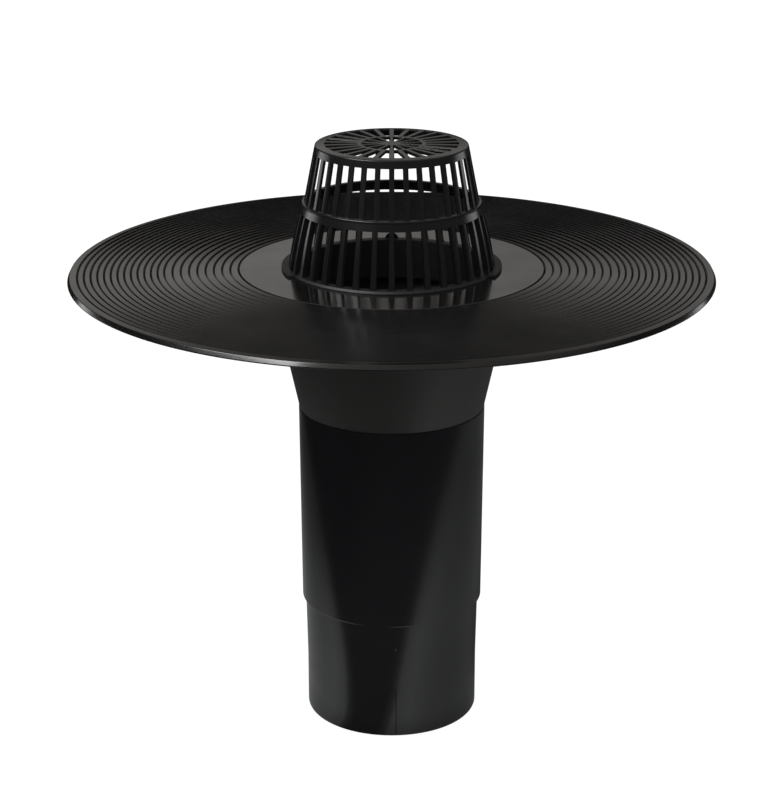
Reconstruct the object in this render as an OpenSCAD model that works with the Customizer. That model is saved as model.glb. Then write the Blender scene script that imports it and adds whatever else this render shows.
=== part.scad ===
// Flat roof drain, in millimetres.
// A round flange plate with sealing grooves sits on a conical hopper. The hopper's neck
// and the drop spigot plug into a double-socket outlet sleeve, and a slotted leaf basket
// drops into the plate's opening and rests on it by its base ring and two lugs.
// The origin is the centre of the spigot's lower end. +Z is up, and the object stands
// on that end. The index tab of the basket lies towards +Y.

/* [Flange plate] */
// Outer diameter of the flange plate
flange_d = 400; // [340:1:480]
// Thickness of the plate, whose rim is rounded over all of it
flange_t = 3.4; // [2.8:0.1:6]
// Diameter of the opening that the basket's collar drops into
opening_d = 120.6; // [96:0.2:150]
// Height of the bevel round the top edge of the opening
opening_bevel = 0.8; // [0.4:0.1:1.2]
// How far the plate overhangs the inside of the hopper
plate_ledge = 13.7; // [10:0.1:20]
// Depth of the seat under the plate that takes the hopper's top edge
seat_depth = 0.6; // [0.4:0.1:1]
// Diameter of the smooth disc inside the grooves
smooth_d = 188; // [170:1:230]

/* [Sealing grooves] */
// Width of the flat ring outside the first groove
rim_land_w = 5.3; // [3:0.1:10]
// Width of a groove at the plate's top face
groove_w = 1.5; // [1:0.1:2]
// Width of the groove's flat floor
groove_floor_w = 0.5; // [0.3:0.1:0.8]
// Depth of a groove
groove_depth = 0.9; // [0.5:0.1:1.4]
// Slope of the lands between the grooves, which face a little outwards, in degrees
land_slope = 6; // [0:0.5:9]
// Number of grooves in the outer, close-set band
fine_n = 14; // [6:1:16]
// Pitch of the close-set grooves
fine_pitch = 4.085; // [3.2:0.005:4.4]
// Pitch of the wider-set grooves, which fill the plate down to the smooth disc
coarse_pitch = 5.09; // [4:0.01:7]

/* [Hopper] */
// Height of the hopper's cone, from the sleeve to the underside of the plate
hopper_h = 86.6; // [60:0.1:110]
// Wall of the cone, measured level
hopper_wall = 3.5; // [2.5:0.1:5]
// How far the foot of the cone stands back from the sleeve's outside
foot_setback = 0.4; // [0.2:0.1:1]
// Height of the bevel from the cone's inside down to the waterway
throat_bevel_h = 7; // [4:0.5:14]
// Height of the locating rib under the plate, which drops into the hopper
rib_h = 3; // [2:0.5:5]
// Thickness of the locating rib
rib_t = 2.4; // [1.5:0.1:4]

/* [Outlet sleeve] */
// Height of the sleeve
sleeve_h = 130; // [104:1:180]
// Wall of the sleeve at its lower, thin end
sleeve_wall = 1.95; // [1.6:0.05:4]
// How much wider the sleeve's top is than its foot, in radius
sleeve_draft = 1; // [0.4:0.1:2]
// Height of the stop ring that parts the two sockets
stop_h = 10; // [6:1:20]
// Radius that rounds the sleeve's lower edge
sleeve_edge_r = 1.2; // [0.6:0.1:1.4]

/* [Drop spigot] */
// Outer diameter of the plain run that plugs into the pipe below
spigot_d = 110; // [90:0.5:132]
// Height of the spigot below the sleeve
spigot_h = 77; // [62:1:110]
// Height of the plain, parallel run at the foot
plain_h = 36; // [28:1:50]
// How much wider the spigot is in the sleeve than at the plain run, in radius
spigot_draft = 0.8; // [0.3:0.1:1.5]
// Wall of the plain run, which sets the waterway's bore
spigot_wall = 3.2; // [2.4:0.1:5]
// Height of the lead-in bevel round the lower edge
lead_in = 1.2; // [0.6:0.1:2]

/* [Leaf basket] */
// Height of the basket above the plate
basket_h = 77.8; // [64:0.1:110]
// Height of the waist, where the skirt meets the upper tier
waist_h = 42.3; // [34:0.1:54]
// How much narrower the waist is than the base, in radius
skirt_flare = 9.3; // [4:0.1:14]
// How far the skirt's wall bows out of the straight line
skirt_bow = 0.8; // [0.3:0.1:1.5]
// How much narrower the crown is than the waist, in radius
upper_flare = 7.7; // [3:0.1:10]
// Wall of the basket
basket_wall = 1.8; // [1.4:0.1:2.6]
// Width of the base ring's seat on the plate
seat_w = 3.9; // [3:0.1:8]
// Thickness of the base ring
base_t = 1.8; // [1.2:0.1:3]
// Depth of the collar that drops into the opening
collar_h = 23.8; // [12:0.1:32]
// Number of slots round each tier
slot_n = 36; // [24:2:40]
// Width of the skirt's slots
skirt_slot_w = 7.4; // [5:0.1:7.8]
// Depth of the skirt's bars, which stand inwards from the wall as ribs
skirt_bar_depth = 4; // [1.8:0.1:5]
// Width of the bars between the upper tier's slots
upper_bar_w = 3.2; // [2.2:0.1:4]
// Height of the solid band below the waist
waist_band_h = 6.2; // [4:0.1:9]
// Height of the solid band below the crown
crown_band_h = 5.4; // [4:0.1:8]
// Diameter of the bead round the waist
bead_d = 1.6; // [1:0.1:2.4]
// Radius that rounds the edge of the crown
crown_edge_r = 1.5; // [0.8:0.1:2.5]

/* [Crown grille] */
// Thickness of the crown
crown_t = 1.5; // [1:0.1:2.5]
// Radius of the hub
hub_r = 6; // [4:0.1:9]
// Outer radius of the inner ring of windows
inner_window_r = 18.4; // [14:0.1:22]
// Width of the ring between the two rings of windows
mid_ring_w = 2.7; // [1.6:0.1:4]
// Width of the crown's solid border outside the windows
border_w = 6; // [4:0.1:9]
// Number of spokes in the inner ring
inner_spoke_n = 14; // [8:2:16]
// Width of the inner spokes
inner_spoke_w = 2.2; // [1.4:0.1:2.6]
// Number of spokes in the outer ring
outer_spoke_n = 26; // [16:2:30]
// Width of the outer spokes
outer_spoke_w = 3.2; // [1.8:0.1:3.6]

/* [Basket lugs] */
// How far the two lugs reach past the base ring
lug_reach = 4.2; // [2:0.1:8]
// Width of a lug across its straight sides
lug_w = 53; // [30:1:70]
// Radius of the half-round index tab at the foot of the rear bar
tab_r = 4.4; // [3:0.1:5]

/* [Hidden] */
$fn = 180;
// Radial play between a plug and its socket
fit = 0.15;
// Cutters reach this far past the faces that they cut
over = 1;

// Heights of the faces on which the pieces meet
sleeve_z0 = spigot_h;
sleeve_z1 = sleeve_z0 + sleeve_h;
plate_z0 = sleeve_z1 + hopper_h;
plate_z1 = plate_z0 + flange_t;
seat_z = plate_z0 + seat_depth;
socket_h = (sleeve_h - stop_h) / 2;

// Radii of the waterway and of what plugs together round it
spigot_r = spigot_d / 2;
water_r = spigot_r - spigot_wall;
plug_r = spigot_r + spigot_draft;
socket_r = plug_r + fit;
sleeve_foot_r = socket_r + sleeve_wall;
sleeve_top_r = sleeve_foot_r + sleeve_draft;

// Radii of the hopper
opening_r = opening_d / 2;
hopper_in_r = opening_r + plate_ledge;
hopper_out_r = hopper_in_r + hopper_wall;
cone_foot_r = sleeve_top_r - foot_setback;
throat_r = cone_foot_r - hopper_wall;
rib_r = hopper_in_r - (hopper_in_r - throat_r) * rib_h / hopper_h - 2 * fit;

// Radii of the grooves
flange_r = flange_d / 2;
first_groove_r = flange_r - rim_land_w - groove_w / 2;
last_fine_r = first_groove_r - (fine_n - 1) * fine_pitch;
coarse_n = floor((last_fine_r - groove_w / 2 - smooth_d / 2) / coarse_pitch);
groove_radii = concat(
    [for (i = [0 : fine_n - 1]) first_groove_r - i * fine_pitch],
    [for (i = [1 : coarse_n]) last_fine_r - i * coarse_pitch]
);

// Width of the land inside a groove, where another groove follows
function land_w(i) = i + 1 < len(groove_radii) ? groove_radii[i] - groove_radii[i + 1] - groove_w : 0;

// Radii of the basket
collar_r = opening_r - 2 * fit;
base_r = opening_r + seat_w;
waist_r = base_r - skirt_flare;
crown_r = waist_r - upper_flare;
step_in = 0.9;
outer_window_r = crown_r - border_w;
skirt_chord = norm([skirt_flare, waist_h]);
skirt_arc_r = skirt_chord * skirt_chord / (8 * skirt_bow) + skirt_bow / 2;
slot_top_skirt = waist_h - waist_band_h;
slot_top_upper = basket_h - crown_band_h;

module ring_2d(r_in, r_out, z0, z1) {
    translate([r_in, z0]) square([r_out - r_in, z1 - z0]);
}

// Cut of one groove and of the sloping land inside it
module groove_2d(land_w) {
    land_end = -groove_w / 2 - land_w;
    polygon([
        [land_end, 0], [land_end, over], [groove_w / 2, over], [groove_w / 2, 0],
        [groove_floor_w / 2, -groove_depth], [-groove_floor_w / 2, -groove_depth],
        [-groove_w / 2, -land_w * tan(land_slope)]
    ]);
}

module plate_2d() {
    difference() {
        union() {
            ring_2d(opening_r, flange_r - flange_t / 2, plate_z0, plate_z1);
            translate([flange_r - flange_t / 2, plate_z0 + flange_t / 2]) circle(d = flange_t);
            ring_2d(rib_r - rib_t, rib_r, plate_z0 - rib_h, plate_z0 + flange_t / 2);
        }
        ring_2d(hopper_in_r - fit, hopper_out_r + fit, plate_z0 - over, plate_z0 + seat_depth);
        for (i = [0 : len(groove_radii) - 1]) translate([groove_radii[i], plate_z1]) groove_2d(land_w(i));
        polygon([
            [opening_r - over, plate_z1 + over], [opening_r - over, plate_z1 - opening_bevel - over],
            [opening_r + opening_bevel + over, plate_z1 + over]
        ]);
    }
}

module flange_plate() {
    color("#26272a") rotate_extrude() plate_2d();
}

module hopper() {
    color("#323336") rotate_extrude() polygon([
        [hopper_in_r, plate_z0], [hopper_in_r, seat_z], [hopper_out_r, seat_z],
        [hopper_out_r, plate_z0], [cone_foot_r, sleeve_z1],
        [plug_r, sleeve_z1], [plug_r, sleeve_z1 - socket_h + 2 * fit],
        [water_r, sleeve_z1 - socket_h + 2 * fit], [water_r, sleeve_z1 - throat_bevel_h],
        [throat_r, sleeve_z1]
    ]);
}

module sleeve_2d() {
    edge_z = sleeve_z0 + sleeve_edge_r;
    difference() {
        union() {
            polygon([
                [water_r, edge_z], [sleeve_foot_r, edge_z],
                [sleeve_top_r, sleeve_z1], [water_r, sleeve_z1]
            ]);
            ring_2d(water_r, sleeve_foot_r - sleeve_edge_r, sleeve_z0, edge_z);
            translate([sleeve_foot_r - sleeve_edge_r, edge_z]) circle(r = sleeve_edge_r);
        }
        ring_2d(water_r - over, socket_r, sleeve_z1 - socket_h, sleeve_z1 + over);
        ring_2d(water_r - over, socket_r, sleeve_z0 - over, sleeve_z0 + socket_h);
    }
}

module outlet_sleeve() {
    color("#1b1b1d") rotate_extrude() sleeve_2d();
}

module drop_spigot() {
    top_z = sleeve_z0 + socket_h;
    color("#1b1b1d") rotate_extrude() polygon([
        [water_r, 0], [spigot_r - lead_in / 2, 0], [spigot_r, lead_in], [spigot_r, plain_h],
        [plug_r, sleeve_z0], [plug_r, top_z], [water_r, top_z]
    ]);
}

// Section of the skirt's bowed wall between two depths from its outside, from height z0 to z1
module skirt_2d(depth_0, depth_1, z0, z1) {
    mid = [base_r - skirt_flare / 2, waist_h / 2];
    outward = [waist_h, skirt_flare] / skirt_chord;
    centre = mid - outward * (skirt_arc_r - skirt_bow);
    intersection() {
        translate(centre) difference() {
            circle(r = skirt_arc_r - depth_0, $fn = 720);
            circle(r = skirt_arc_r - depth_1, $fn = 720);
        }
        ring_2d(crown_r - depth_1, base_r + over, z0, z1);
    }
}

module upper_2d() {
    foot_r = waist_r - step_in;
    top_z = basket_h - crown_edge_r;
    polygon([
        [foot_r - basket_wall, waist_h - bead_d], [foot_r, waist_h - bead_d], [foot_r, waist_h],
        [crown_r, top_z], [crown_r - basket_wall, top_z]
    ]);
}

module crown_2d() {
    ring_2d(0, crown_r - crown_edge_r, basket_h - crown_t, basket_h);
    intersection() {
        translate([crown_r - crown_edge_r, basket_h - crown_edge_r]) circle(r = crown_edge_r);
        ring_2d(0, crown_r + over, basket_h - crown_edge_r, basket_h);
    }
    ring_2d(crown_r - basket_wall, crown_r - crown_edge_r, basket_h - crown_edge_r, basket_h);
}

module basket_2d() {
    skirt_2d(0, basket_wall, 0, waist_h);
    skirt_2d(basket_wall / 2, skirt_bar_depth, base_t / 2, slot_top_skirt);
    upper_2d();
    crown_2d();
    ring_2d(collar_r - basket_wall, base_r, 0, base_t);
    ring_2d(collar_r - basket_wall, collar_r, -collar_h, base_t);
    translate([waist_r, waist_h - bead_d / 2]) circle(d = bead_d);
}

// Ring of n openings between parallel-sided bars; a bar points to +Y and to -Y
module openings(n, bar_w, r_in, r_out, z0, z1) {
    translate([0, 0, z0]) linear_extrude(z1 - z0) difference() {
        circle(r = r_out);
        circle(r = r_in);
        for (i = [0 : n - 1]) rotate(90 + i * 360 / n) translate([0, -bar_w / 2]) square([r_out + over, bar_w]);
    }
}

// Slots of one width through the skirt, between bars that narrow towards the waist
module skirt_slots() {
    r_in = crown_r - over;
    translate([0, 0, base_t]) linear_extrude(slot_top_skirt - base_t)
        for (i = [0 : slot_n - 1]) rotate(90 + (i + 0.5) * 360 / slot_n)
            translate([r_in, -skirt_slot_w / 2]) square([base_r + over - r_in, skirt_slot_w]);
}

module lugs() {
    linear_extrude(base_t) difference() {
        intersection() {
            circle(r = base_r + lug_reach);
            square([2 * (base_r + lug_reach), lug_w], center = true);
        }
        circle(r = collar_r - basket_wall / 2);
    }
}

module index_tab() {
    intersection() {
        translate([0, base_r - base_t / 2, base_t / 2]) rotate([90, 0, 0])
            cylinder(r = tab_r, h = basket_wall);
        translate([-tab_r, 0, base_t / 2]) cube([2 * tab_r, base_r, tab_r]);
    }
}

module leaf_basket() {
    color("#1e1f21") translate([0, 0, plate_z1]) {
        difference() {
            union() {
                rotate_extrude() basket_2d();
                lugs();
            }
            skirt_slots();
            openings(slot_n, upper_bar_w, outer_window_r, waist_r + over, waist_h, slot_top_upper);
            openings(inner_spoke_n, inner_spoke_w, hub_r, inner_window_r, basket_h - crown_t - over, basket_h + over);
            openings(outer_spoke_n, outer_spoke_w, inner_window_r + mid_ring_w, outer_window_r,
                basket_h - crown_t - over, basket_h + over);
        }
        index_tab();
    }
}

flange_plate();
hopper();
outlet_sleeve();
drop_spigot();
leaf_basket();
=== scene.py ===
from math import atan2, cos, degrees, hypot, pi, radians, sin, tan

import bpy
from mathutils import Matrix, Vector


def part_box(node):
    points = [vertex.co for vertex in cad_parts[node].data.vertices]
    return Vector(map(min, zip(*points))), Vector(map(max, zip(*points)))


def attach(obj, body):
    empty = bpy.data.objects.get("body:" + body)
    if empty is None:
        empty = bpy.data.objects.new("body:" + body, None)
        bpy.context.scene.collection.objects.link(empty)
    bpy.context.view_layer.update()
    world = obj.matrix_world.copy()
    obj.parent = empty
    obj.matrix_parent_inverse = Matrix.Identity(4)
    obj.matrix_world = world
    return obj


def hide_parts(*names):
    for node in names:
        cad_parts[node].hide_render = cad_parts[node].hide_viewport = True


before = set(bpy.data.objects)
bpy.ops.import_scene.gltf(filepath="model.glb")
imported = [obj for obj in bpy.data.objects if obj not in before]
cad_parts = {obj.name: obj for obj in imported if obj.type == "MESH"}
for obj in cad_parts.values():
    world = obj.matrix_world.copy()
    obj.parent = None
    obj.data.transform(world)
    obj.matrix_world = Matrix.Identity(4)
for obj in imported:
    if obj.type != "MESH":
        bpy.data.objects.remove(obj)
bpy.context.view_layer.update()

bl_info = {
    "name": "Flat Roof Drain",
    "version": (1, 0, 0),
    "blender": (4, 5, 0),
    "location": "3D View > Sidebar > Roof Drain",
    "description": "Models the mouldings of a flat roof drain round its measured frame",
    "category": "Object",
}

MM = 0.001
# The spokes of the crown lie this far inside the faces of the rings that they run into
SPOKE_STEP = 0.03 * MM
# Points that lie closer than this to a height or a line count as on it
NEAR = 0.01 * MM
# Points that a cut makes closer together than this are merged
CUT_MERGE = 0.001 * MM
# Faces round a turned pipe
PIPE_STEPS = 256
# Widths of the finishes' patterns. A polished mould's own grain is too fine to show, so it is drawn coarser.
HANDLING_PATCH = 38 * MM
MOULD_GRAIN = 0.6 * MM
plate_low, plate_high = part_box("flange_plate")
_, hopper_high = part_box("hopper")
sleeve_low, sleeve_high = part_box("outlet_sleeve")
spigot_low, spigot_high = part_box("drop_spigot")
_, basket_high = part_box("leaf_basket")


# ---------------------------------------------------------------- sizes and colours

def linear(hex_code):
    """Turns an sRGB hex colour into the linear colour that a shader takes."""
    channels = [int(hex_code[i:i + 2], 16) / 255 for i in (1, 3, 5)]
    return [c / 12.92 if c <= 0.04045 else ((c + 0.055) / 1.055) ** 2.4 for c in channels]


def length(name, description, millimetres):
    """A size that the sidebar shows, given in millimetres and held in metres."""
    return bpy.props.FloatProperty(
        name=name, description=description, default=millimetres * MM, min=0, unit="LENGTH", precision=5)


def colour(name, description, hex_code):
    """A colour that the sidebar shows."""
    return bpy.props.FloatVectorProperty(
        name=name, description=description, default=linear(hex_code), min=0, max=1, size=3, subtype="COLOR")


class PlateSizes(bpy.types.PropertyGroup):
    """Sizes of the flange plate"""

    thickness: length("Thickness", "Thickness of the plate", 3.4)
    rim_round: length("Rim round", "Radius that rounds the two edges of the rim", 0.55)
    opening: length("Opening radius", "Radius of the opening that takes the basket", 60.3)
    opening_bevel: length("Opening bevel", "Height of the bevel round the top of the opening", 0.8)
    rim_land: length("Rim land", "Width of the ring outside the first groove", 5.3)
    groove_width: length("Groove width", "Width of a groove at its mouth", 1.5)
    groove_floor: length("Groove floor", "Width of a groove's floor beside its upright wall", 0.15)
    groove_depth: length("Groove depth", "Depth of a groove below the plate's top face", 1.2)
    lip_round: length("Lip round", "Round on the inner lips of the grooves", 0.12)
    fine_pitch: length("Fine pitch", "Pitch of the close-set grooves", 4.085)
    coarse_pitch: length("Coarse pitch", "Pitch of the wide-set grooves", 5.09)
    rim_drop: length("Rim drop", "How far the ring outside the first groove falls to the rim", 0.25)
    rim_lean: bpy.props.FloatProperty(
        name="Rim lean", description="How far the rim's side leans inwards towards the top",
        default=radians(27), subtype="ANGLE")
    land_slope: bpy.props.FloatProperty(
        name="Land slope", description="Slope of the lands between the grooves, which face a little outwards",
        default=radians(6), subtype="ANGLE")
    rib_outer: length("Rib radius", "Outer radius of the locating rib under the plate", 73.04)
    rib_thickness: length("Rib thickness", "Thickness of the locating rib", 2.4)
    seat_width: length("Seat width", "Width of the seat under the plate, as the hopper's top edge", 3.5)
    seat_fit: length("Seat fit", "Clearance beside the hopper's top edge in its seat", 0.15)
    fine_grooves: bpy.props.IntProperty(
        name="Fine grooves", description="Number of close-set grooves", default=14, min=1)
    coarse_grooves: bpy.props.IntProperty(
        name="Coarse grooves", description="Number of wide-set grooves", default=9, min=1)


class PipeSizes(bpy.types.PropertyGroup):
    """Sizes of the hopper and of the two pipe lengths"""

    wall: length("Hopper wall", "Wall of the hopper's cone", 3.5)
    cone_foot: length("Cone foot radius", "Outer radius of the cone where it meets the sleeve", 58.5)
    waterway: length("Waterway radius", "Radius of the bore that the water runs through", 51.8)
    plug: length("Plug radius", "Outer radius of what plugs into the sleeve", 55.8)
    socket: length("Socket radius", "Inner radius of the sleeve's two sockets", 55.95)
    socket_depth: length("Socket depth", "Depth of each of the sleeve's sockets", 60)
    neck_length: length("Neck length", "Length of the hopper's neck inside the sleeve", 59.7)
    throat_bevel: length("Throat bevel", "Height of the bevel from the cone to the waterway", 7)
    sleeve_foot: length("Sleeve foot radius", "Outer radius of the sleeve at its lower end", 57.9)
    sleeve_edge: length("Sleeve edge", "Radius that rounds the sleeve's lower edge", 1.2)
    plain_radius: length("Spigot radius", "Outer radius of the spigot's plain run", 55)
    plain_run: length("Plain run", "Height of the spigot's plain, parallel run", 36)
    lead_in: length("Lead-in", "Height of the bevel round the spigot's foot", 1.2)
    fillet: length("Fillet", "Radius of the small rounds on the moulded edges", 0.35)
    seam_width: length("Seam width", "Width of the mould's parting line on the spigot", 0.6)
    seam_depth: length("Seam depth", "Depth of the parting line", 0.5)
    seam_height: length("Seam height", "Height of the parting line above the spigot's foot", 33)
    seam_angle: bpy.props.FloatProperty(
        name="Seam angle", description="Angle of the parting line from the front, towards +X",
        default=radians(2.9), subtype="ANGLE")
    gate_height: length("Gate height", "Height of the gate mark above the spigot's foot", 60.6)
    gate_radius: length("Gate radius", "Radius of the gate mark", 0.7)


class BasketSizes(bpy.types.PropertyGroup):
    """Sizes of the leaf basket, whose heights start at the plate's top face"""

    base: length("Base radius", "Outer radius of the base ring", 64.2)
    waist: length("Waist radius", "Outer radius of the skirt at the waist", 54.9)
    crown: length("Crown radius", "Outer radius of the upper tier at the crown", 47.2)
    waist_height: length("Waist height", "Height of the waist above the plate", 42.3)
    bow: length("Skirt bow", "How far the skirt's wall bows out of the straight line", 0.8)
    step: length("Waist step", "How far the upper tier's foot stands back from the waist", 0.9)
    wall: length("Wall", "Wall of the basket", 1.8)
    bead: length("Bead radius", "Radius of the bead round the waist", 0.8)
    collar: length("Collar radius", "Outer radius of the collar in the opening", 60)
    collar_depth: length("Collar depth", "Depth of the collar below the plate's top face", 23.8)
    base_thickness: length("Base thickness", "Thickness of the base ring and the lugs", 1.8)
    crown_edge: length("Crown edge", "Radius that rounds the edge of the crown", 0.9)
    ring_lip: length("Ring lip", "How far the sloping edge of the base ring stands out past the bars", 0.9)
    border_drop: length("Border drop", "How far the crown's solid border falls to its edge", 0.4)
    crown_thickness: length("Crown thickness", "Thickness of the crown grille", 1.5)
    skirt_slot: length("Skirt slot", "Width of the slots through the skirt", 7.4)
    rib_depth: length("Rib depth", "Depth of the skirt's bars, which stand inwards from the wall as ribs", 4)
    upper_bar: length("Upper bar", "Width of the bars of the upper tier", 3.2)
    waist_band: length("Waist band", "Height of the solid band below the waist", 6.2)
    crown_band: length("Crown band", "Height of the solid band below the crown", 5.4)
    soft_edge: length("Soft edge", "Bevel on the moulded edges of bars and spokes", 0.3)
    spoke_depth: length("Spoke depth", "Depth of the crown's spokes and middle ring", 1.9)
    spoke_round: length("Spoke round", "Round along the spokes' top edges", 0.55)
    hub: length("Hub radius", "Radius of the crown's hub", 6)
    mid_ring: length("Middle ring radius", "Inner radius of the ring between the spokes", 18.4)
    mid_ring_width: length("Middle ring width", "Width of the ring between the spokes", 2.7)
    border: length("Border", "Width of the crown's solid border", 6)
    inner_spoke: length("Inner spoke", "Width of the spokes round the hub", 2.2)
    outer_spoke: length("Outer spoke", "Width of the spokes outside the middle ring", 3.2)
    lug_width: length("Lug width", "Width of a lug across its straight sides", 53)
    tab: length("Tab radius", "Radius of the index tab at the foot of the rear bar", 4.4)
    slots: bpy.props.IntProperty(
        name="Slots", description="Number of slots round each tier", default=36, min=3)
    inner_spokes: bpy.props.IntProperty(
        name="Inner spokes", description="Number of spokes round the hub", default=14, min=3)
    outer_spokes: bpy.props.IntProperty(
        name="Outer spokes", description="Number of spokes outside the middle ring", default=26, min=3)


class Finishes(bpy.types.PropertyGroup):
    """Colours of the mouldings"""

    plate: colour("Plate", "Colour of the flange plate", "#111010")
    hopper: colour("Hopper", "Colour of the hopper", "#1f1e1d")
    pipe: colour("Pipe", "Colour of the sleeve and the spigot", "#111113")
    basket: colour("Basket", "Colour of the leaf basket", "#1b1b1c")


class StageSizes(bpy.types.PropertyGroup):
    """Sizes of the stage and its lights"""

    camera_back: length("Camera distance", "How far the camera stands in front of the drain's axis", 1328.5)
    camera_height: length("Camera height", "Height of the camera above the floor", 663.4)
    camera_tilt: bpy.props.FloatProperty(
        name="Camera tilt", description="Tilt of the camera below the horizon",
        default=radians(18.88), subtype="ANGLE")
    camera_lens: bpy.props.FloatProperty(
        name="Lens", description="Focal length of the camera", default=99.57, subtype="DISTANCE_CAMERA")
    camera_shift: bpy.props.FloatProperty(
        name="Shift", description="Sideways shift that places the drain in the picture", default=-0.00775)
    floor_radius: length("Floor radius", "Radius of the round floor", 9000)
    floor: colour("Floor", "Colour of the floor", "#f4f4f4")


# ---------------------------------------------------------------- modelling helpers

def start_piece():
    """Deselects everything, so that the next operator acts on the new primitive alone."""
    bpy.ops.object.select_all(action="DESELECT")


def edit_mode():
    bpy.ops.object.mode_set(mode="EDIT")


def object_mode():
    bpy.ops.object.mode_set(mode="OBJECT")


def active_object():
    return bpy.context.view_layer.objects.active


def name_piece(name):
    """Names the primitive that was just added."""
    piece = active_object()
    piece.name = name
    return piece


def select_only(piece):
    """Selects one object alone and makes it the active one."""
    start_piece()
    piece.select_set(True)
    bpy.context.view_layer.objects.active = piece


def apply_place():
    """Moves the selected object's place, turn and scale into its mesh."""
    bpy.ops.object.transform_apply(location=True, rotation=True, scale=True)


def trim(place, direction):
    """In edit mode, cuts off what lies past a plane and closes the cut."""
    bpy.ops.mesh.select_all(action="SELECT")
    bpy.ops.mesh.bisect(
        plane_co=place, plane_no=direction, use_fill=True, clear_outer=True, threshold=CUT_MERGE)


def select_elements(kind, test):
    """In edit mode, selects the edges or faces whose element passes the test."""
    bpy.ops.mesh.select_all(action="DESELECT")
    bpy.ops.mesh.select_mode(type=kind)
    object_mode()
    mesh = active_object().data
    elements = {"VERT": mesh.vertices, "EDGE": mesh.edges, "FACE": mesh.polygons}[kind]
    for element in elements:
        element.select = bool(test(mesh, element))
    edit_mode()


def arc(centre, radius, first, last, steps):
    """Points on an arc in the plane of radius and height, with its angles in degrees."""
    angles = [radians(first + (last - first) * i / steps) for i in range(steps + 1)]
    return [(centre[0] + radius * cos(a), centre[1] + radius * sin(a)) for a in angles]


def round_corner(before, corner, after, radius, steps=3):
    """The points that round off a corner of an outline with a small arc."""
    to_before = (before[0] - corner[0], before[1] - corner[1])
    to_after = (after[0] - corner[0], after[1] - corner[1])
    reach = min(radius, 0.45 * hypot(*to_before), 0.45 * hypot(*to_after))
    start = [corner[i] + to_before[i] / hypot(*to_before) * reach for i in (0, 1)]
    end = [corner[i] + to_after[i] / hypot(*to_after) * reach for i in (0, 1)]
    points = []
    for i in range(steps + 1):
        t = i / steps
        points.append(tuple(
            (1 - t) ** 2 * start[k] + 2 * t * (1 - t) * corner[k] + t * t * end[k] for k in (0, 1)))
    return points


def rounded(outline, radius, steps=3):
    """A closed outline with each of its corners rounded."""
    points = []
    for i, corner in enumerate(outline):
        points += round_corner(outline[i - 1], corner, outline[(i + 1) % len(outline)], radius, steps)
    return points


def trace_outline(name, points):
    """Draws a closed outline in the X-Z plane: a plane shrunk to a point, extruded from corner to corner."""
    start_piece()
    bpy.ops.mesh.primitive_plane_add(size=MM)
    piece = name_piece(name)
    piece.data.name = name
    edit_mode()
    bpy.ops.mesh.select_mode(type="VERT")
    bpy.ops.mesh.merge(type="CENTER")
    bpy.ops.transform.translate(value=(points[0][0], 0, points[0][1]))
    for here, there in zip(points, points[1:]):
        step = (there[0] - here[0], 0, there[1] - here[1])
        bpy.ops.mesh.extrude_region_move(TRANSFORM_OT_translate={"value": step})
    last = len(points) - 1
    select_elements("VERT", lambda mesh, vert: vert.index in (0, last))
    bpy.ops.mesh.edge_face_add()
    return piece


def lathe(name, points, steps):
    """Turns a closed outline of (radius, height) points once round the drain's axis."""
    piece = trace_outline(name, points)
    bpy.ops.mesh.select_all(action="SELECT")
    bpy.ops.mesh.spin(steps=steps, angle=2 * pi, center=(0, 0, 0), axis=(0, 0, 1))
    close_seams()
    object_mode()
    return piece


def close_seams(distance=0.002 * MM):
    """Merges the vertices that meet at a seam and turns all faces outwards."""
    bpy.ops.mesh.select_all(action="SELECT")
    bpy.ops.mesh.remove_doubles(threshold=distance)
    bpy.ops.mesh.normals_make_consistent(inside=False)


def join(parts):
    """Joins several objects into the first of them."""
    start_piece()
    for part in parts:
        part.select_set(True)
    bpy.context.view_layer.objects.active = parts[0]
    bpy.ops.object.join()
    return parts[0]


def copies_round_axis(piece, count, first_angle=0.0):
    """Copies a piece to count places round the drain's axis, each copy with its own mesh, and joins them."""
    parts = []
    for i in range(count):
        select_only(piece)
        bpy.ops.object.duplicate(linked=False)
        copy = active_object()
        copy.rotation_euler.z = first_angle + 2 * pi * i / count
        apply_place()
        parts.append(copy)
    bpy.data.objects.remove(piece)
    return join(parts)


def soften(piece, width):
    """Bevels the sharp edges of a piece, as a mould's small radii leave them."""
    select_only(piece)
    bevel = piece.modifiers.new("Moulded edges", "BEVEL")
    bevel.width = width
    bevel.segments = 2
    bevel.limit_method = "ANGLE"
    bevel.angle_limit = radians(40)
    bpy.ops.object.modifier_apply(modifier=bevel.name)


def finish_piece(piece, material, node, angle=35):
    """Smooths a piece, gives it its finish and lets it stand for its node of the frame."""
    select_only(piece)
    apply_place()
    bpy.ops.object.shade_smooth_by_angle(angle=radians(angle))
    weighted = piece.modifiers.new("Even shading", "WEIGHTED_NORMAL")
    weighted.keep_sharp = True
    bpy.ops.object.modifier_apply(modifier=weighted.name)
    piece.data.materials.clear()
    piece.data.materials.append(material)
    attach(piece, "root")
    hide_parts(node)
    return piece


# ---------------------------------------------------------------- finishes

def empty_tree(owner):
    """Gives a material or a world an empty node tree."""
    owner.use_nodes = True
    owner.node_tree.nodes.clear()
    return owner.node_tree


def add_node(tree, kind, settings=None, links=None):
    """Adds a shader node, gives its sockets and properties their values, and links its inputs."""
    node = tree.nodes.new(kind)
    for key, value in (settings or {}).items():
        if isinstance(key, int) or key in node.inputs:
            node.inputs[key].default_value = value
        else:
            setattr(node, key, value)
    for key, source in (links or {}).items():
        tree.links.new(source, node.inputs[key])
    return node


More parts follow.
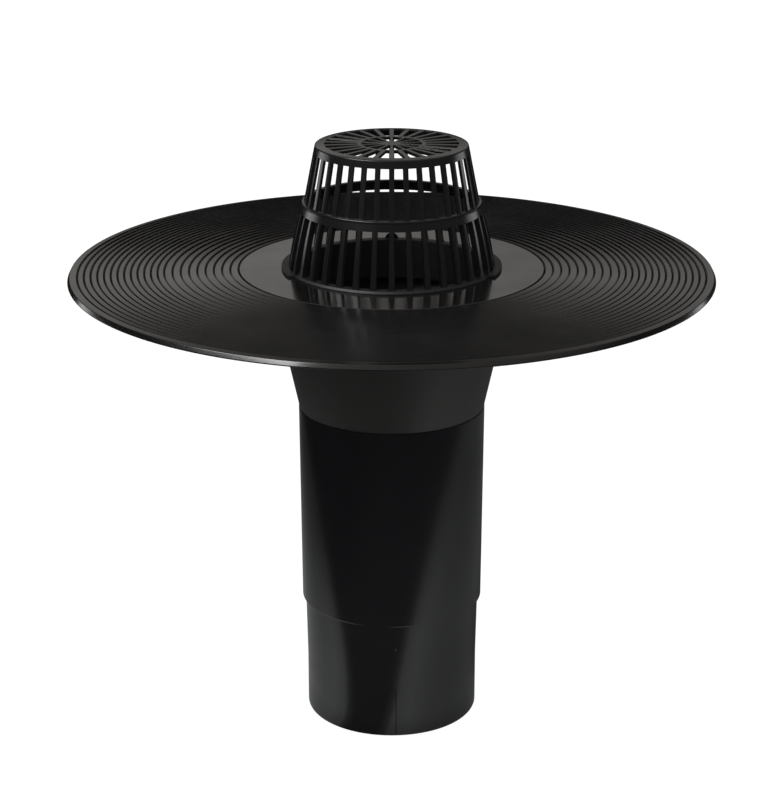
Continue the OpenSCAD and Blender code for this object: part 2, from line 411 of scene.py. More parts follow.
def add_ramp(tree, source, first, last, levels):
    """Adds a ramp that gives a level for each value of the source between the first and the last."""
    share = add_node(tree, "ShaderNodeMapRange", {"From Min": first, "From Max": last}, {"Value": source})
    ramp = add_node(tree, "ShaderNodeValToRGB", links={"Fac": share.outputs["Result"]})
    elements = ramp.color_ramp.elements
    while len(elements) < len(levels):
        elements.new(0.5)
    for element, (value, level) in zip(elements, levels):
        element.position = (value - first) / (last - first)
        element.color = (level, level, level, 1)
    return ramp.outputs["Color"]


def moulded_plastic(name, base_colour, roughness, roughness_spread, ripple_mm, ripple_height, grain_height,
                    gloss=0.5, matt_below=None):
    """The shared build of the black mouldings. A slow ripple from cooling bends the reflections, a fine
    grain left by the mould's polish breaks them up, and handling leaves patches that are a little duller
    and paler.
    Under the height matt_below the surface is matt, as a spark-eroded mould leaves it."""
    material = bpy.data.materials.new(name)
    tree = empty_tree(material)
    place = add_node(tree, "ShaderNodeTexCoord").outputs["Object"]
    handling = add_node(
        tree, "ShaderNodeTexNoise", {"Scale": 1 / HANDLING_PATCH, "Detail": 5.0, "Roughness": 0.6},
        {"Vector": place})
    dullness = add_node(
        tree, "ShaderNodeMapRange",
        {"From Min": 0.3, "From Max": 0.7, "To Min": roughness, "To Max": roughness + roughness_spread},
        {"Value": handling.outputs["Fac"]})
    finish = dullness.outputs["Result"]
    if matt_below is not None:
        fade, more_rough = 0.6 * MM, 0.3
        height = add_node(tree, "ShaderNodeSeparateXYZ", links={"Vector": place}).outputs["Z"]
        matt = add_node(
            tree, "ShaderNodeMapRange",
            {"From Min": matt_below, "From Max": matt_below + fade, "To Min": more_rough, "To Max": 0},
            {"Value": height})
        finish = add_node(
            tree, "ShaderNodeMath", {"operation": "ADD"}, {0: finish, 1: matt.outputs["Result"]}).outputs[0]
    ripple = add_node(
        tree, "ShaderNodeTexNoise", {"Scale": 1 / (ripple_mm * MM), "Detail": 1.0}, {"Vector": place})
    ripple_bump = add_node(
        tree, "ShaderNodeBump", {"Strength": 1.0, "Distance": ripple_height * MM},
        {"Height": ripple.outputs["Fac"]})
    grain = add_node(
        tree, "ShaderNodeTexNoise", {"Scale": 1 / MOULD_GRAIN, "Detail": 2.0}, {"Vector": place})
    grain_bump = add_node(
        tree, "ShaderNodeBump", {"Strength": 1.0, "Distance": grain_height * MM},
        {"Height": grain.outputs["Fac"], "Normal": ripple_bump.outputs["Normal"]})
    handled = [c * 1.35 for c in base_colour]
    tone = add_node(
        tree, "ShaderNodeMix", {"data_type": "RGBA", "A": (*base_colour, 1), "B": (*handled, 1)},
        {"Factor": handling.outputs["Fac"]})
    shader = add_node(
        tree, "ShaderNodeBsdfPrincipled", {"IOR": 1.49, "Specular IOR Level": gloss},
        {"Base Color": tone.outputs["Result"], "Roughness": finish,
         "Normal": grain_bump.outputs["Normal"]})
    add_node(tree, "ShaderNodeOutputMaterial", links={"Surface": shader.outputs["BSDF"]})
    return material


def gloss_polypropylene_plate(colours):
    """Polypropylene pressed in a polished mould: mirrors the studio softly between the grooves."""
    return moulded_plastic(
        "gloss_polypropylene_plate", colours.plate, roughness=0.16, roughness_spread=0.05,
        ripple_mm=60, ripple_height=0.02, grain_height=0.0006)


def satin_polypropylene_hopper(colours):
    """Polypropylene from a blasted mould: a satin cone that spreads its highlights."""
    return moulded_plastic(
        "satin_polypropylene_hopper", colours.hopper, roughness=0.34, roughness_spread=0.06,
        ripple_mm=70, ripple_height=0.05, grain_height=0.002)


def extruded_polypropylene_pipe(colours):
    """Extruded pipe: glossy along its length, with a slow waviness that bends the highlights."""
    return moulded_plastic(
        "extruded_polypropylene_pipe", colours.pipe, roughness=0.13, roughness_spread=0.04,
        ripple_mm=90, ripple_height=0.12, grain_height=0.001)


def gloss_polypropylene_basket(colours):
    """Polypropylene from a polished mould, matt on the base ring and the lugs."""
    foot = plate_high.z + 1.8 * MM
    return moulded_plastic(
        "gloss_polypropylene_basket", colours.basket, roughness=0.19, roughness_spread=0.06,
        ripple_mm=30, ripple_height=0.03, grain_height=0.001, gloss=0.3, matt_below=foot)


# ---------------------------------------------------------------- outlines

def groove_radii(sizes):
    """Radii of the grooves' middles, from the rim inwards."""
    first = plate_high.x - sizes.rim_land - sizes.groove_width / 2
    fine = [first - i * sizes.fine_pitch for i in range(sizes.fine_grooves)]
    coarse = [fine[-1] - (i + 1) * sizes.coarse_pitch for i in range(sizes.coarse_grooves)]
    return fine + coarse


def groove_points(radius, sizes, outer_lip, inner_lip):
    """One groove's section between its lips, given by their heights: an upright wall down from the outer lip
    and a slope that rises from its foot to the softer inner lip."""
    mouth, bottom = sizes.groove_width / 2, plate_high.z - sizes.groove_depth
    foot, draft = radius + mouth - sizes.groove_floor, 0.04 * MM
    points = [(radius + mouth, outer_lip), (radius + mouth - draft, bottom), (foot, bottom)]
    points += round_corner(
        (foot, bottom), (radius - mouth, inner_lip), (radius - mouth - MM, inner_lip), sizes.lip_round)
    return points


def land_drop(sizes, outer, inner):
    """How far the outer edge of the sloping land between two grooves lies below the plate's top."""
    return (outer - inner - sizes.groove_width) * tan(sizes.land_slope)


def plate_outline(sizes):
    """The plate's section, anticlockwise: rim, grooved top, smooth disc, opening, rib, hopper's seat."""
    top, under = plate_high.z, plate_high.z - sizes.thickness
    edge, lean = sizes.rim_round, sizes.rim_lean
    low, high = under + edge, top - sizes.rim_drop - edge
    radii = groove_radii(sizes)
    points = [(hopper_high.x + sizes.seat_fit, under)]
    points += arc((plate_high.x - edge, low), edge, -90, degrees(lean), 6)
    points += arc((plate_high.x - edge - (high - low) * tan(lean), high), edge, degrees(lean), 86, 5)
    drops = [land_drop(sizes, *pair) for pair in zip(radii, radii[1:])] + [0]
    for radius, drop in zip(radii, drops):
        points += groove_points(radius, sizes, top, top - drop)
    bevel = sizes.opening_bevel
    points += arc((sizes.opening + bevel, top - bevel), bevel, 90, 180, 4)
    rib_foot, rib_round, seat = plate_low.z, 0.5 * MM, hopper_high.z
    inner, outer = sizes.rib_outer - sizes.rib_thickness, sizes.rib_outer
    seat_in, seat_out = hopper_high.x - sizes.seat_width - sizes.seat_fit, hopper_high.x + sizes.seat_fit
    points += [(sizes.opening, under), (inner, under)]
    points += round_corner((inner, under), (inner, rib_foot), (outer, rib_foot), rib_round)
    points += round_corner((inner, rib_foot), (outer, rib_foot), (outer, under), rib_round)
    points += [(outer, under), (seat_in, under), (seat_in, seat), (seat_out, seat)]
    return points


def hopper_outline(sizes, underside):
    """The hopper's section, anticlockwise: neck, cone up to the plate, and the edge in its seat."""
    top, sleeve_top = hopper_high.z, sleeve_high.z
    foot = sleeve_top - sizes.neck_length
    mouth_in, mouth_out = hopper_high.x - sizes.wall, hopper_high.x
    corners = [
        (sizes.waterway, foot), (sizes.plug, foot), (sizes.plug, sleeve_top), (sizes.cone_foot, sleeve_top),
        (mouth_out, underside), (mouth_out, top), (mouth_in, top), (mouth_in, underside),
        (sizes.cone_foot - sizes.wall, sleeve_top), (sizes.waterway, sleeve_top - sizes.throat_bevel),
    ]
    return rounded(corners, sizes.fillet, 2)


def sleeve_outline(sizes):
    """The sleeve's section, anticlockwise: rounded foot, drafted outside, two sockets and the stop ring."""
    low, high = sleeve_low.z, sleeve_high.z
    stop_low, stop_high = low + sizes.socket_depth, high - sizes.socket_depth
    foot = sizes.sleeve_foot
    corners = [
        (sleeve_high.x, high), (sizes.socket, high), (sizes.socket, stop_high), (sizes.waterway, stop_high),
        (sizes.waterway, stop_low), (sizes.socket, stop_low), (sizes.socket, low),
    ]
    points = arc((foot - sizes.sleeve_edge, low + sizes.sleeve_edge), sizes.sleeve_edge, -90, 0, 6)
    for i in range(len(corners)):
        before = corners[i - 1] if i else points[-1]
        after = corners[i + 1] if i + 1 < len(corners) else points[0]
        points += round_corner(before, corners[i], after, sizes.fillet, 2)
    return points


def spigot_outline(sizes):
    """The spigot's section, anticlockwise: bevelled foot, plain run, drafted run and the bore."""
    low, high, step = spigot_low.z, spigot_high.z, sleeve_low.z
    corners = [
        (sizes.waterway, low), (sizes.plain_radius - sizes.lead_in / 2, low),
        (sizes.plain_radius, low + sizes.lead_in), (sizes.plain_radius, low + sizes.plain_run),
        (sizes.plug, step), (sizes.plug, high), (sizes.waterway, high),
    ]
    return rounded(corners, sizes.fillet, 2)


def skirt_radius(sizes, height):
    """Outer radius of the bowed skirt at a height above the plate."""
    t = height / sizes.waist_height
    return sizes.base + (sizes.waist - sizes.base) * t + 4 * sizes.bow * t * (1 - t)


def upper_radius(sizes, height):
    """Outer radius of the upper tier at a height above the plate."""
    foot, top = sizes.waist_height, basket_high.z - plate_high.z - sizes.crown_edge
    t = (height - foot) / (top - foot)
    return sizes.waist - sizes.step + (sizes.crown - sizes.waist + sizes.step) * t


def basket_outline(sizes):
    """The basket wall's section, anticlockwise from the collar's foot: collar, base ring, skirt, waist,
    upper tier, crown border, and back down the inside."""
    crown_top = basket_high.z - plate_high.z
    collar, wall, bead = sizes.collar, sizes.wall, sizes.bead
    skirt_top, upper_top = sizes.waist_height - sizes.waist_band, crown_top - sizes.crown_band
    skirt_rows = [sizes.base_thickness + (skirt_top - sizes.base_thickness) * i / 6 for i in range(7)]
    upper_rows = [sizes.waist_height, (sizes.waist_height + upper_top) / 2, upper_top]
    edge_foot = crown_top - sizes.crown_edge - sizes.border_drop
    inner_step = sizes.waist_height - 2 * bead
    border = sizes.crown - sizes.border
    collar_round, collar_foot = 0.5 * MM, -sizes.collar_depth
    inner_foot, outer_foot = (collar - wall, collar_foot), (collar, collar_foot)
    points = round_corner((collar - wall, 0), inner_foot, outer_foot, collar_round)
    points += round_corner(inner_foot, outer_foot, (collar, 0), collar_round)
    foot, lip = skirt_radius(sizes, sizes.base_thickness), sizes.ring_lip
    points += [(collar, 0), (foot + lip - 0.1 * MM, 0), (foot + lip, 0.25 * MM)]
    points += [(foot + 0.8 * lip, 0.8 * MM), (foot + 0.35 * lip, sizes.base_thickness - 0.3 * MM)]
    points += [(skirt_radius(sizes, z), z) for z in skirt_rows[:-1] + [skirt_top - 0.8 * MM, skirt_top]]
    points += [(skirt_radius(sizes, inner_step - 0.5 * MM), inner_step - 0.5 * MM)]
    points += arc((sizes.waist, sizes.waist_height - bead), bead, -50, 90, 7)
    points += [(upper_radius(sizes, z), z) for z in upper_rows]
    points += arc((sizes.crown - sizes.crown_edge, edge_foot), sizes.crown_edge, 5, 84, 6)
    points += [(border, crown_top), (border, crown_top - sizes.crown_thickness)]
    points += [(sizes.crown - wall - 0.6 * MM, crown_top - sizes.crown_thickness)]
    points += [(upper_radius(sizes, z) - wall, z) for z in reversed(upper_rows)]
    points += [(sizes.waist - sizes.step - wall, inner_step)]
    points += [(skirt_radius(sizes, inner_step) - wall, inner_step)]
    points.append((skirt_radius(sizes, skirt_top) - wall, skirt_top))
    points += [(skirt_radius(sizes, z) - sizes.rib_depth, z) for z in reversed(skirt_rows)]
    bevel = 0.4 * MM
    points += [(collar - wall + bevel, sizes.base_thickness), (collar - wall, sizes.base_thickness - bevel)]
    return [(r, z + plate_high.z) for r, z in points]


# ---------------------------------------------------------------- operators

class DRAIN_OT_flange_plate(bpy.types.Operator):
    """Turn the grooved flange plate from its section"""

    bl_idname = "drain.flange_plate"
    bl_label = "Flange Plate"

    def execute(self, context):
        scene = context.scene
        plate = lathe("flange_plate_moulding", plate_outline(scene.drain_plate), 240)
        finish_piece(
            plate, gloss_polypropylene_plate(scene.drain_finish), "flange_plate", 30)
        return {"FINISHED"}


class DRAIN_OT_hopper(bpy.types.Operator):
    """Turn the conical hopper and its neck"""

    bl_idname = "drain.hopper"
    bl_label = "Hopper"

    def execute(self, context):
        scene = context.scene
        underside = plate_high.z - scene.drain_plate.thickness
        hopper = lathe("hopper_moulding", hopper_outline(scene.drain_pipes, underside), PIPE_STEPS)
        finish_piece(hopper, satin_polypropylene_hopper(scene.drain_finish), "hopper")
        return {"FINISHED"}


class DRAIN_OT_outlet_sleeve(bpy.types.Operator):
    """Turn the double-socket outlet sleeve"""

    bl_idname = "drain.outlet_sleeve"
    bl_label = "Outlet Sleeve"

    def execute(self, context):
        scene = context.scene
        sleeve = lathe("outlet_sleeve_pipe", sleeve_outline(scene.drain_pipes), PIPE_STEPS)
        finish_piece(sleeve, extruded_polypropylene_pipe(scene.drain_finish), "outlet_sleeve")
        return {"FINISHED"}


class DRAIN_OT_drop_spigot(bpy.types.Operator):
    """Turn the drop spigot"""

    bl_idname = "drain.drop_spigot"
    bl_label = "Drop Spigot"

    def execute(self, context):
        scene = context.scene
        sizes = scene.drain_pipes
        spigot = lathe("drop_spigot_pipe", spigot_outline(sizes), PIPE_STEPS)
        sink_seam(spigot, sizes)
        spigot = join([spigot, gate_mark(sizes)])
        finish_piece(spigot, extruded_polypropylene_pipe(scene.drain_finish), "drop_spigot")
        return {"FINISHED"}


class DRAIN_OT_leaf_basket(bpy.types.Operator):
    """Model one slotted sector of the basket, copy it round the axis, and add the grille, lugs and tab"""

    bl_idname = "drain.leaf_basket"
    bl_label = "Leaf Basket"

    def execute(self, context):
        scene = context.scene
        sizes = scene.drain_basket
        parts = [basket_wall(sizes), *crown_grille(sizes), *basket_lugs(sizes), index_tab(sizes)]
        basket = join(parts)
        basket.name = "leaf_basket_moulding"
        finish_piece(basket, gloss_polypropylene_basket(scene.drain_finish), "leaf_basket")
        return {"FINISHED"}


# ---------------------------------------------------------------- marks of the spigot's mould

def sink_seam(spigot, sizes):
    """Sinks the parting line: the outside is cut along a narrow strip, which is inset and pushed in."""
    along = Vector((sin(sizes.seam_angle), -cos(sizes.seam_angle), 0))
    across = Vector((cos(sizes.seam_angle), sin(sizes.seam_angle), 0))
    half, reach = sizes.seam_width / 2, 3 * MM
    top = spigot_low.z + sizes.seam_height

    def outside(mesh, face):
        near = along.dot(face.center) > 0 and abs(across.dot(face.center)) < reach
        outer = hypot(face.center.x, face.center.y) > sizes.plain_radius - MM
        return near and outer and face.center.z < top + reach

    select_only(spigot)
    edit_mode()
    cuts = [(half * across, across), (-half * across, across), (Vector((0, 0, top)), Vector((0, 0, 1)))]
    for place, direction in cuts:
        select_elements("FACE", outside)
        bpy.ops.mesh.bisect(plane_co=place, plane_no=direction, threshold=CUT_MERGE)
    select_elements("FACE", lambda mesh, face: (
        outside(mesh, face) and abs(across.dot(face.center)) < half and face.center.z < top))
    bank = 0.35 * sizes.seam_width
    bpy.ops.mesh.inset(thickness=bank, depth=-sizes.seam_depth, use_even_offset=True)
    object_mode()


def gate_mark(sizes):
    """The small proud pip that the mould's gate leaves above the parting line."""
    reach = sizes.plain_radius + 0.4 * MM
    side, front = sin(sizes.seam_angle) * reach, -cos(sizes.seam_angle) * reach
    start_piece()
    bpy.ops.mesh.primitive_uv_sphere_add(
        segments=32, ring_count=16, radius=sizes.gate_radius,
        location=(side, front, spigot_low.z + sizes.gate_height))
    return name_piece("gate_mark")


# ---------------------------------------------------------------- leaf basket

def skirt_sides(sizes):
    """The two upright planes beside the skirt's slot: distance from the axis, direction out of the slot."""
    return [(sizes.skirt_slot / 2, Vector((0, side, 0))) for side in (-1, 1)]


def upper_sides(sizes):
    """The two upright planes beside the upper tier's slot, which stand along parallel-sided bars."""
    half_sector = pi / sizes.slots
    return [
        (-sizes.upper_bar / 2, Vector((-sin(half_sector), side * cos(half_sector), 0))) for side in (-1, 1)]


def cut_along(sides, test):
    """Cuts the sector's faces that pass the test along the planes beside a slot."""
    for distance, outward in sides:
        select_elements("FACE", test)
        bpy.ops.mesh.bisect(plane_co=distance * outward, plane_no=outward, threshold=CUT_MERGE)


def open_slot(sizes, sides, low, high):
    """Deletes the sector's faces between the planes from low to high and bridges the wall's two skins."""
    half_sector = pi / sizes.slots

    def in_slot(mesh, face):
        between = all(outward.dot(face.center) < distance for distance, outward in sides)
        step = face.center.z > high - NEAR and face.normal.z < 0
        upright = low < face.center.z < high and abs(face.normal.z) < 0.9
        return between and (upright or step and face.center.z < high + NEAR)

    select_elements("FACE", in_slot)
    bpy.ops.mesh.delete(type="FACE")
    bpy.ops.mesh.select_mode(type="EDGE")
    bpy.ops.mesh.select_all(action="DESELECT")
    bpy.ops.mesh.select_non_manifold(extend=False, use_wire=False, use_multi_face=False, use_verts=False)
    object_mode()
    mesh = active_object().data
    for edge in mesh.edges:
        ends = [mesh.vertices[v].co for v in edge.vertices]
        on_side = all(abs(abs(atan2(end.y, end.x)) - half_sector) < 1e-4 for end in ends)
        away = not all(low - NEAR < end.z < high + NEAR for end in ends)
        if on_side or away:
            edge.select = False
    edit_mode()
    bpy.ops.mesh.bridge_edge_loops()


def basket_wall(sizes):
    """The slotted wall: one sector is spun, cut along the sides of its two slots, opened there and bridged
    through the wall, and a copy for every slot is joined."""
    sector = 2 * pi / sizes.slots
    base, top = plate_high.z, basket_high.z
    waist = base + sizes.waist_height
    wall = trace_outline("basket_wall", basket_outline(sizes))
    bpy.ops.mesh.select_all(action="SELECT")
    bpy.ops.mesh.spin(steps=4, angle=sector, center=(0, 0, 0), axis=(0, 0, 1))
    bpy.ops.mesh.select_all(action="SELECT")
    bpy.ops.mesh.normals_make_consistent(inside=False)
    object_mode()
    wall.rotation_euler.z = sector_start(wall)
    bpy.ops.object.transform_apply(location=False, rotation=True, scale=False)
    edit_mode()
    cut_along(skirt_sides(sizes), lambda mesh, face: face.center.z < waist)
    cut_along(upper_sides(sizes), lambda mesh, face: face.center.z > waist)
    open_slot(sizes, skirt_sides(sizes), base + sizes.base_thickness, waist - sizes.waist_band)
    open_slot(sizes, upper_sides(sizes), waist, top - sizes.crown_band)
    bpy.ops.mesh.select_mode(type="EDGE")
    bpy.ops.mesh.select_all(action="DESELECT")
    bpy.ops.mesh.edges_select_sharp(sharpness=radians(50))
    bpy.ops.mesh.bevel(offset=sizes.soft_edge, segments=2, affect="EDGES", clamp_overlap=False)
    object_mode()
    wall = copies_round_axis(wall, sizes.slots, pi / 2 + sector / 2)
    edit_mode()
    close_seams(0.004 * MM)
    object_mode()
    return wall


def sector_start(wall):
    """The turn that centres a spun sector on the X axis, whichever way the spin went."""
    angles = [atan2(v.co.y, v.co.x) for v in wall.data.vertices]
    return -(min(angles) + max(angles)) / 2


def spokes(sizes, name, count, width, first, last):
    """A ring of spokes: one long block with a rounded back, copied round the axis."""
    depth = sizes.spoke_depth - 2 * SPOKE_STEP
    start_piece()
    bpy.ops.mesh.primitive_cube_add(
        size=1, location=((first + last) / 2, 0, basket_high.z - sizes.spoke_depth / 2))
    spoke = name_piece(name)
    spoke.scale = (last - first, width, depth)
    apply_place()
    edit_mode()
    select_elements("EDGE", top_along_x)
    bpy.ops.mesh.bevel(offset=sizes.spoke_round, segments=4, affect="EDGES", clamp_overlap=False)
    object_mode()
    return copies_round_axis(spoke, count, pi / 2)


def top_along_x(mesh, edge):
    """Whether an edge of a spoke runs along the X axis on the spoke's top."""
    start, end = [mesh.vertices[v].co for v in edge.vertices]
    along = abs(start.y - end.y) + abs(start.z - end.z) < NEAR
    return along and basket_high.z - start.z < 0.1 * MM


def crown_grille(sizes):
    """The grille in the crown: hub, inner spokes, middle ring and outer spokes."""
    top, bottom = basket_high.z, basket_high.z - sizes.spoke_depth
    start_piece()
    bpy.ops.mesh.primitive_cylinder_add(
        vertices=72, radius=sizes.hub, depth=sizes.spoke_depth, location=(0, 0, (top + bottom) / 2))
    hub = name_piece("crown_hub")
    apply_place()
    soften(hub, sizes.soft_edge)
    ring_in, ring_out = sizes.mid_ring, sizes.mid_ring + sizes.mid_ring_width
    corners = [(ring_in, bottom), (ring_out, bottom), (ring_out, top), (ring_in, top)]
    ring = lathe("crown_middle_ring", rounded(corners, sizes.soft_edge), 144)
    border = sizes.crown - sizes.border
    inner = spokes(sizes, "inner_spokes", sizes.inner_spokes, sizes.inner_spoke, sizes.hub - MM, ring_in + MM)
    outer = spokes(sizes, "outer_spokes", sizes.outer_spokes, sizes.outer_spoke, ring_out - MM, border + MM)
    return [hub, ring, inner, outer]


def basket_lugs(sizes):
    """The two lugs past the base ring, each a disc cut down to the part that stands out and its root."""
    base, half = plate_high.z, sizes.lug_width / 2
    root = sizes.base - 7 * MM
    lugs = []
    for side in (-1, 1):
        start_piece()
        bpy.ops.mesh.primitive_cylinder_add(
            vertices=240, radius=basket_high.x, depth=sizes.base_thickness,
            location=(0, 0, base + sizes.base_thickness / 2))
        lug = name_piece("basket_lug")
        apply_place()
        edit_mode()
        trim((0, half, 0), (0, 1, 0))
        trim((0, -half, 0), (0, -1, 0))
        trim((side * root, 0, 0), (-side, 0, 0))
        object_mode()
        soften(lug, sizes.soft_edge)
        lugs.append(lug)
    return lugs


def index_tab(sizes):
    """The half-round tab at the foot of the rear bar."""
    foot = plate_high.z + sizes.base_thickness / 2
    start_piece()
    bpy.ops.mesh.primitive_cylinder_add(
        vertices=64, radius=sizes.tab, depth=sizes.wall, rotation=(pi / 2, 0, 0),
        location=(0, sizes.base - sizes.base_thickness / 2 - sizes.wall / 2, foot))
    tab = name_piece("index_tab")
    apply_place()
    edit_mode()
    trim((0, 0, foot), (0, 0, -1))
    object_mode()
    soften(tab, sizes.soft_edge)
    return tab


# ---------------------------------------------------------------- stage

def painted_floor_reflection(tree):
    """Painted reflection: the floor's brightness as the mouldings' gloss alone sees it, a glow that no lamp
    gives.
    A painted dark tongue runs forwards from under the drain and widens with the distance, which paints a dark
    wedge on the front of the pipes between paler sides. The far left is painted dimmer, so the hopper and the
    sleeve are darker on that side."""
    tongue_turn, tongue_spread = radians(112), 3.05
    place = add_node(tree, "ShaderNodeTexCoord").outputs["Object"]
    turned = add_node(
        tree, "ShaderNodeVectorRotate", {"rotation_type": "Z_AXIS", "Angle": tongue_turn}, {"Vector": place})
    axes = add_node(tree, "ShaderNodeSeparateXYZ", links={"Vector": turned.outputs["Vector"]})
    bearing = add_node(
        tree, "ShaderNodeMath", {"operation": "ARCTAN2"}, {0: axes.outputs["Y"], 1: axes.outputs["X"]})
    aside = add_node(tree, "ShaderNodeMath", {"operation": "ABSOLUTE"}, {0: bearing.outputs[0]})
    away = add_node(tree, "ShaderNodeVectorMath", {"operation": "LENGTH"}, {0: place})
    past = add_node(
        tree, "ShaderNodeMath", {"operation": "MULTIPLY_ADD", 1: -tongue_spread},
        {0: away.outputs["Value"], 2: aside.outputs[0]})
    shape = add_ramp(tree, past.outputs[0], -0.2, 2.2, (
        (-0.02, 0.1), (0.09, 0.3), (0.16, 0.85), (0.38, 1), (0.7, 0.7), (1.1, 0.5), (1.8, 0.25), (2.2, 0.08)))
    reach = add_ramp(tree, away.outputs["Value"], 0, 1, (
        (0.055, 0.4), (0.08, 0.75), (0.2, 0.75), (0.35, 0.42), (0.5, 0.22), (1, 0.1)))
    # Painted reflection: the shaped brightness, with its painted dark tongue, that the floor shows in the
    # mouldings' gloss
    painted_glow = add_node(tree, "ShaderNodeMath", {"operation": "MULTIPLY"}, {0: shape, 1: reach})
    across = add_node(tree, "ShaderNodeSeparateXYZ", links={"Vector": place}).outputs["X"]
    left = add_node(
        tree, "ShaderNodeMapRange", {"From Min": -0.35, "From Max": -0.12, "To Min": 0.3, "To Max": 1},
        {"Value": across})
    return add_node(
        tree, "ShaderNodeMath", {"operation": "MULTIPLY"},
        {0: painted_glow.outputs[0], 1: left.outputs["Result"]}).outputs[0]


def floor_material(colours):
    """Pale matt floor. It reads white behind the drain with a faint shadow; in the mouldings' gloss it shows
    a painted reflection instead.
    """
    material = bpy.data.materials.new("pale_matt_floor")
    tree = empty_tree(material)
    rays = add_node(tree, "ShaderNodeLightPath")
    matt = add_node(tree, "ShaderNodeBsdfDiffuse", {"Color": (*colours.floor, 1)})
    white = add_node(tree, "ShaderNodeEmission", {"Color": (1, 1, 1, 1), "Strength": 1.12})
    share = add_node(
        tree, "ShaderNodeMath", {"operation": "MULTIPLY", 1: 0.85}, {0: rays.outputs["Is Camera Ray"]})
    seen = add_node(
        tree, "ShaderNodeMixShader",
        links={0: share.outputs[0], 1: matt.outputs["BSDF"], 2: white.outputs[0]})
    # Painted reflection: a glow that only glossy rays see, shaped with the painted dark tongue and the dimmer
    # left
    painted_glow = add_node(
        tree, "ShaderNodeEmission", {"Color": (0.98, 1, 1, 1)}, {"Strength": painted_floor_reflection(tree)})
    both = add_node(
        tree, "ShaderNodeMixShader",
        links={0: rays.outputs["Is Glossy Ray"], 1: seen.outputs[0], 2: painted_glow.outputs[0]})
    add_node(tree, "ShaderNodeOutputMaterial", links={"Surface": both.outputs[0]})
    return material


def light_world(scene):
    """White backdrop and soft light all round. In the mouldings' gloss it is a pale band low behind the
    drain, with a softbox overhead and one in front, all a little brighter to the left."""
    world = bpy.data.worlds.new("studio")
    scene.world = world
    tree = empty_tree(world)
    rays = add_node(tree, "ShaderNodeLightPath")
    direction = add_node(tree, "ShaderNodeTexCoord").outputs["Generated"]
    axes = add_node(tree, "ShaderNodeSeparateXYZ", links={"Vector": direction})
    height = add_ramp(tree, axes.outputs["Z"], 0, 1, (
        (0.165, 0.03), (0.205, 0.5), (0.245, 1), (0.33, 1), (0.43, 0.03), (0.6, 0.05), (0.85, 0.9), (1, 1)))
    narrow = add_ramp(tree, axes.outputs["X"], -1, 1, ((-0.5, 0), (-0.3, 1), (0.3, 1), (0.5, 0)))
    rear = add_ramp(tree, axes.outputs["Y"], -1, 1, ((-0.2, 0), (0.2, 1)))
    behind = add_node(tree, "ShaderNodeMath", {"operation": "MULTIPLY"}, {0: narrow, 1: rear}).outputs[0]
    overhead = add_ramp(tree, axes.outputs["Z"], 0, 1, ((0.5, 0), (0.7, 1)))
    open_sky = add_node(tree, "ShaderNodeMath", {"operation": "MAXIMUM"}, {0: behind, 1: overhead})
    above = add_node(tree, "ShaderNodeMath", {"operation": "MULTIPLY"}, {0: height, 1: open_sky.outputs[0]})
    raised = add_ramp(tree, axes.outputs["Z"], 0, 1, ((0.36, 0), (0.5, 0.85), (0.75, 0.85), (0.85, 0)))
    fore = add_ramp(tree, axes.outputs["Y"], -1, 1, ((0, 1), (0.3, 0)))
    front = add_node(tree, "ShaderNodeMath", {"operation": "MULTIPLY"}, {0: raised, 1: fore})
    band = add_node(
        tree, "ShaderNodeMath", {"operation": "MAXIMUM"}, {0: above.outputs[0], 1: front.outputs[0]})
    side = add_node(
        tree, "ShaderNodeMapRange", {"From Min": -0.06, "From Max": 0.06, "To Min": 0.63, "To Max": 0.5},
        {"Value": axes.outputs["X"]})
    level = add_node(
        tree, "ShaderNodeMath", {"operation": "MULTIPLY"}, {0: band.outputs[0], 1: side.outputs["Result"]})
    plain = add_node(tree, "ShaderNodeBackground", {"Color": (1, 1, 1, 1), "Strength": 0.9})
    white = add_node(tree, "ShaderNodeBackground", {"Color": (1, 1, 1, 1), "Strength": 1.0})
    reflected = add_node(
        tree, "ShaderNodeBackground", {"Color": (1, 0.97, 0.92, 1)}, {"Strength": level.outputs[0]})
    gloss = add_node(
        tree, "ShaderNodeMixShader",
        links={0: rays.outputs["Is Glossy Ray"], 1: plain.outputs[0], 2: reflected.outputs[0]})
    seen = add_node(
        tree, "ShaderNodeMath", {"operation": "MAXIMUM"},
        {0: rays.outputs["Is Camera Ray"], 1: rays.outputs["Is Transmission Ray"]})
    both = add_node(
        tree, "ShaderNodeMixShader", links={0: seen.outputs[0], 1: gloss.outputs[0], 2: white.outputs[0]})
    add_node(tree, "ShaderNodeOutputWorld", links={"Surface": both.outputs[0]})


def gloss_card(name, place, target, width, height, power):
    """A soft card of light that shows in the mouldings' gloss alone, turned towards a target."""
    light = bpy.data.lights.new(name, "AREA")
    light.shape = "RECTANGLE"
    light.size, light.size_y = width, height
    light.energy = power
    card = bpy.data.objects.new(name, light)
    bpy.context.scene.collection.objects.link(card)
    card.visible_camera = False
    card.visible_diffuse = False
    card.location = place
    card.rotation_euler = (Vector(target) - Vector(place)).to_track_quat("-Z", "Y").to_euler()


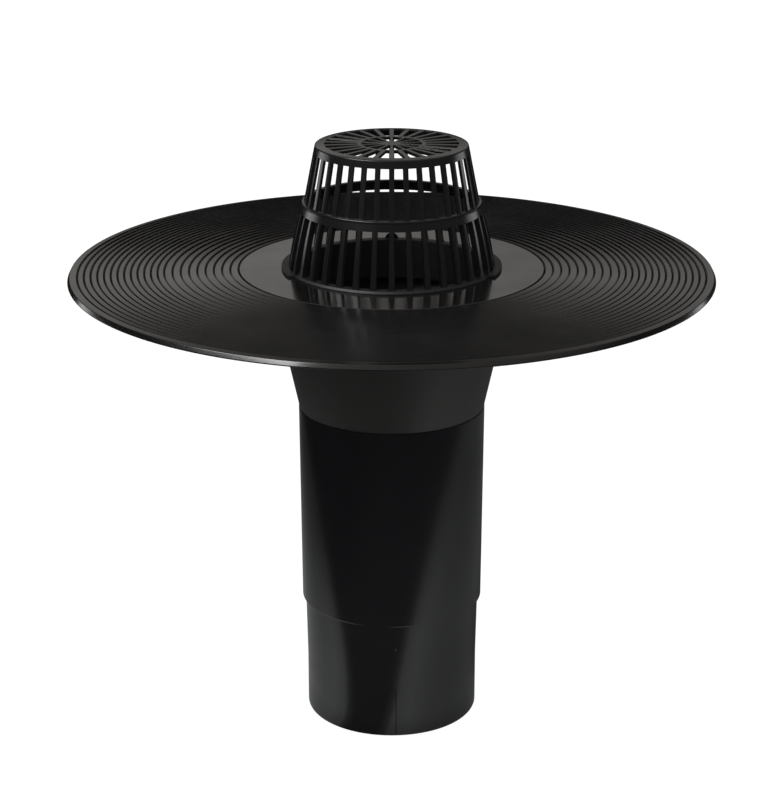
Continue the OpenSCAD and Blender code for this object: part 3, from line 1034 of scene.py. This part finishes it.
class DRAIN_OT_stage(bpy.types.Operator):
    """Set the pale floor, the soft lights and the camera"""

    bl_idname = "drain.stage"
    bl_label = "Stage"

    def execute(self, context):
        scene = context.scene
        sizes = scene.drain_stage
        start_piece()
        bpy.ops.mesh.primitive_circle_add(vertices=64, radius=sizes.floor_radius, fill_type="NGON")
        floor = name_piece("floor")
        floor.data.materials.append(floor_material(sizes))
        light_world(scene)
        middle = (0, 0, plate_low.z * 0.7)
        gloss_card("left_card", (-1.92, 1.07, 0.34), middle, width=0.9, height=0.3, power=2.4)
        gloss_card("right_card", (1.92, 1.07, 0.34), middle, width=0.9, height=0.3, power=1.8)
        gloss_card("front_left_card", (-1.12, -0.82, 1.44), middle, width=1.2, height=0.7, power=42)
        lens = bpy.data.cameras.new("camera")
        lens.lens = sizes.camera_lens
        lens.shift_x = sizes.camera_shift
        camera = bpy.data.objects.new("camera", lens)
        scene.collection.objects.link(camera)
        camera.location = (0, -sizes.camera_back, sizes.camera_height)
        camera.rotation_euler = (pi / 2 - sizes.camera_tilt, 0, 0)
        scene.camera = camera
        scene.view_settings.view_transform = "Standard"
        return {"FINISHED"}


class DRAIN_PT_sidebar(bpy.types.Panel):
    """Lists the drain's mouldings and their sizes in the sidebar"""

    bl_idname = "DRAIN_PT_sidebar"
    bl_label = "Roof Drain"
    bl_space_type = "VIEW_3D"
    bl_region_type = "UI"
    bl_category = "Roof Drain"

    def draw(self, context):
        for operator, group in STEPS:
            box = self.layout.box()
            box.operator(operator.bl_idname)
            sizes = getattr(context.scene, group)
            for name in sizes.bl_rna.properties.keys():
                if name not in ("rna_type", "name"):
                    box.prop(sizes, name)


GROUPS = {
    "drain_plate": PlateSizes,
    "drain_pipes": PipeSizes,
    "drain_basket": BasketSizes,
    "drain_finish": Finishes,
    "drain_stage": StageSizes,
}
STEPS = (
    (DRAIN_OT_flange_plate, "drain_plate"),
    (DRAIN_OT_hopper, "drain_pipes"),
    (DRAIN_OT_outlet_sleeve, "drain_pipes"),
    (DRAIN_OT_drop_spigot, "drain_pipes"),
    (DRAIN_OT_leaf_basket, "drain_basket"),
    (DRAIN_OT_stage, "drain_stage"),
)


def register():
    for group in GROUPS.values():
        bpy.utils.register_class(group)
    for name, group in GROUPS.items():
        setattr(bpy.types.Scene, name, bpy.props.PointerProperty(type=group))
    for operator, _ in STEPS:
        bpy.utils.register_class(operator)
    bpy.utils.register_class(DRAIN_PT_sidebar)


def unregister():
    bpy.utils.unregister_class(DRAIN_PT_sidebar)
    for operator, _ in STEPS:
        bpy.utils.unregister_class(operator)
    for name in GROUPS:
        delattr(bpy.types.Scene, name)
    for group in GROUPS.values():
        bpy.utils.unregister_class(group)


def main():
    register()
    bpy.ops.drain.flange_plate()
    bpy.ops.drain.hopper()
    bpy.ops.drain.outlet_sleeve()
    bpy.ops.drain.drop_spigot()
    bpy.ops.drain.leaf_basket()
    bpy.ops.drain.stage()


if __name__ == "__main__":
    main()
